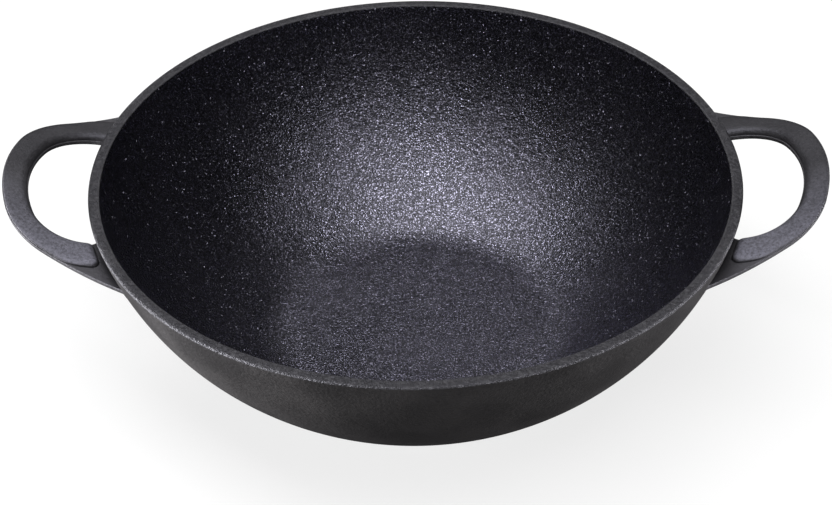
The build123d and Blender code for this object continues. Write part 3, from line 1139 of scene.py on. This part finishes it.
        # Painted highlight: a lighter ring along the inner edge, broken into patches, stands in for
        # the light that edge catches.
        edge_highlight = place_group(
            tree, "ring_band", Vector=place, Radius=inner_edge, Width=0.5 * MM, Softness=0.5 * MM)
        patches = noise(tree, place, PATCH_SCALE, 3.0, 0.6)
        grit = add_node(tree, "ShaderNodeMapRange", interpolation_type="SMOOTHSTEP")
        feed(tree, grit, Value=noise(tree, place, RIM_GRIT_SCALE, 2.0, 0.6), From_Min=0.44,
             From_Max=0.66, To_Max=0.55)
        amount = sum_up(tree, "MAXIMUM", grit.outputs["Result"], sum_up(
            tree, "MULTIPLY", edge_highlight.outputs["Mask"], patches))
        colour = add_node(tree, "ShaderNodeMix", data_type="RGBA")
        tree.links.new(amount, colour.inputs[0])
        tree.links.new(film.outputs["Colour"], colour.inputs[6])
        colour.inputs[7].default_value = rgba(finish.grit_and_edge_highlight_colour)
        sand = place_group(
            tree, "casting_ripple", Vector=place, Size=finish.sand_size,
            Depth=3.2 * finish.sand_depth, Tooth=0.8)
        feed(tree, shader, Base_Color=colour.outputs[2], Roughness=film.outputs["Roughness"])
        bump(tree, shader, sand.outputs["Height"])


# The studio: an overhead softbox, a weak box behind, and two low strips that light the outside of
# the bowl from below its rim

BACK_BOX = (0.9, 0.5)
LOW_STRIP = (0.9, 0.08)
LAMP_AIM = Vector((0, 0, 0.04))
FLOOR_HALF = 6.0


def add_lamp(name, size, power, place):
    """A rectangular area lamp at a place, which points at the bowl."""
    data = bpy.data.lights.new(name, "AREA")
    data.shape = "RECTANGLE"
    data.size, data.size_y = size
    data.energy = power
    lamp = bpy.data.objects.new(name, data)
    lamp.location = place
    lamp.rotation_euler = (LAMP_AIM - Vector(place)).to_track_quat("-Z", "Y").to_euler()
    bpy.context.scene.collection.objects.link(lamp)


class KADAI_OT_studio(bpy.types.Operator):
    """Set up the white floor, the lamps, the room and the camera"""

    bl_idname = "kadai.studio"
    bl_label = "Studio"

    def execute(self, context):
        scene = context.scene
        studio = scene.kadai_studio
        self.floor(studio)
        self.room(scene, studio)
        softbox = (1.70 * studio.softbox_side, 0.80 * studio.softbox_side)
        add_lamp("softbox", softbox, studio.softbox_power, (-0.13, -0.15, studio.softbox_height))
        add_lamp("back_box", BACK_BOX, studio.back_power, (0, 1.25, 1.0))
        add_lamp("left_box", LOW_STRIP, studio.left_power, (-1.1, -0.12, 0.045))
        add_lamp("right_box", LOW_STRIP, studio.right_power, (1.1, -0.12, 0.045))
        self.camera(scene, studio)
        scene.view_settings.view_transform = "Standard"
        return {"FINISHED"}

    def floor(self, studio):
        """A wide floor whose camera view is lifted to white but keeps the shadow."""
        bm = bmesh.new()
        bmesh.ops.create_grid(bm, x_segments=8, y_segments=8, size=FLOOR_HALF)
        mesh = bpy.data.meshes.new("studio_floor")
        bm.to_mesh(mesh)
        bm.free()
        floor = bpy.data.objects.new("studio_floor", mesh)
        bpy.context.scene.collection.objects.link(floor)
        material, tree, shader, place = start_material("studio_paper")
        mottle = noise(tree, place, 300.0, 2.0)
        tone = add_node(tree, "ShaderNodeMix", data_type="RGBA")
        tree.links.new(mottle, tone.inputs[0])
        tone.inputs[6].default_value = rgba([0.99 * part for part in studio.floor_colour])
        tone.inputs[7].default_value = rgba(studio.floor_colour)
        seen = tree.nodes.new("ShaderNodeLightPath").outputs["Is Camera Ray"]
        thrown = add_node(tree, "ShaderNodeMix", data_type="RGBA")
        tree.links.new(seen, thrown.inputs[0])
        bounced = [studio.floor_bounce * part for part in studio.floor_colour]
        thrown.inputs[6].default_value = rgba(bounced)
        tree.links.new(tone.outputs[2], thrown.inputs[7])
        feed(tree, shader, Base_Color=thrown.outputs[2], Roughness=0.9)
        shader.inputs["Specular IOR Level"].default_value = 0.0
        white = tree.nodes.new("ShaderNodeEmission")
        mix = tree.nodes.new("ShaderNodeMixShader")
        tree.links.new(sum_up(tree, "MULTIPLY", seen, studio.floor_show), mix.inputs[0])
        tree.links.new(shader.outputs[0], mix.inputs[1])
        tree.links.new(white.outputs[0], mix.inputs[2])
        tree.links.new(mix.outputs[0], tree.nodes["Material Output"].inputs["Surface"])
        mesh.materials.append(material)

    def room(self, scene, studio):
        """White where the camera sees past the floor, nearly dark for the iron."""
        world = bpy.data.worlds.new("room")
        world.use_nodes = True
        scene.world = world
        tree = world.node_tree
        ground = tree.nodes["Background"]
        seen = tree.nodes.new("ShaderNodeLightPath").outputs["Is Camera Ray"]
        level = add_node(tree, "ShaderNodeMapRange")
        feed(tree, level, Value=seen, To_Min=studio.room_level, To_Max=1.0)
        ground.inputs["Color"].default_value = (1, 1, 1, 1)
        tree.links.new(level.outputs["Result"], ground.inputs["Strength"])

    def camera(self, scene, studio):
        """The photograph's camera: aimed at the rim's centre, which lands off the middle."""
        frame_width, frame_height, sensor = 832, 505, 36.0
        focal = studio.view_lens / sensor * frame_width
        turn, height = studio.view_azimuth, studio.view_elevation
        target = Vector((0, 0, scene.kadai_bowl.height))
        back = Vector((
            math.sin(turn) * math.cos(height), -math.cos(turn) * math.cos(height),
            math.sin(height)))
        right = Vector((math.cos(turn), math.sin(turn), 0))
        level = Matrix((right, back.cross(right), back)).transposed()
        roll = Matrix.Rotation(-studio.view_roll, 3, "Z")
        ray = Vector((
            (studio.target_across - frame_width / 2) / focal,
            (frame_height / 2 - studio.target_down) / focal, -1))
        swivel = Vector((0, 0, -1)).rotation_difference(ray).to_matrix()
        place = (level @ roll @ swivel.transposed()).to_4x4()
        place.translation = target + back * studio.view_distance
        data = bpy.data.cameras.new("photo_camera")
        data.sensor_width = sensor
        data.lens = studio.view_lens
        data.clip_end = 50
        camera = bpy.data.objects.new("photo_camera", data)
        camera.matrix_world = place
        scene.collection.objects.link(camera)
        scene.camera = camera


class KADAI_PT_panel(bpy.types.Panel):
    """Sidebar panel with the kadai's steps and sizes"""

    bl_idname = "KADAI_PT_panel"
    bl_label = "Kadai"
    bl_space_type = "VIEW_3D"
    bl_region_type = "UI"
    bl_category = "Kadai"

    def draw(self, context):
        layout = self.layout
        for step in STEPS:
            layout.operator(step.bl_idname)
        for owner in (context.scene.kadai_bowl, context.scene.kadai_handle,
                      context.scene.kadai_finish, context.scene.kadai_studio):
            box = layout.box()
            for name in owner.bl_rna.properties.keys():
                if name not in {"rna_type", "name"}:
                    box.prop(owner, name)


GROUPS = {
    "kadai_bowl": KadaiBowlSizes,
    "kadai_handle": KadaiHandleSizes,
    "kadai_finish": KadaiFinish,
    "kadai_studio": KadaiStudio,
}
STEPS = (
    KADAI_OT_finishes,
    KADAI_OT_bowl_floor,
    KADAI_OT_bowl_wall,
    KADAI_OT_rim,
    KADAI_OT_grips,
    KADAI_OT_roots,
    KADAI_OT_studio,
)


def register():
    """Register the classes and hang the sizes on the scene."""
    for name, group in GROUPS.items():
        bpy.utils.register_class(group)
        setattr(bpy.types.Scene, name, PointerProperty(type=group))
    for step in STEPS:
        bpy.utils.register_class(step)
    bpy.utils.register_class(KADAI_PT_panel)


def unregister():
    """Take the classes and the sizes off again."""
    bpy.utils.unregister_class(KADAI_PT_panel)
    for step in reversed(STEPS):
        bpy.utils.unregister_class(step)
    for name, group in GROUPS.items():
        delattr(bpy.types.Scene, name)
        bpy.utils.unregister_class(group)


def main():
    """Build the kadai and its studio."""
    register()
    bpy.ops.kadai.finishes()
    bpy.ops.kadai.bowl_floor()
    bpy.ops.kadai.bowl_wall()
    bpy.ops.kadai.rim()
    bpy.ops.kadai.grips()
    bpy.ops.kadai.roots()
    bpy.ops.kadai.studio()


if __name__ == "__main__":
    main()
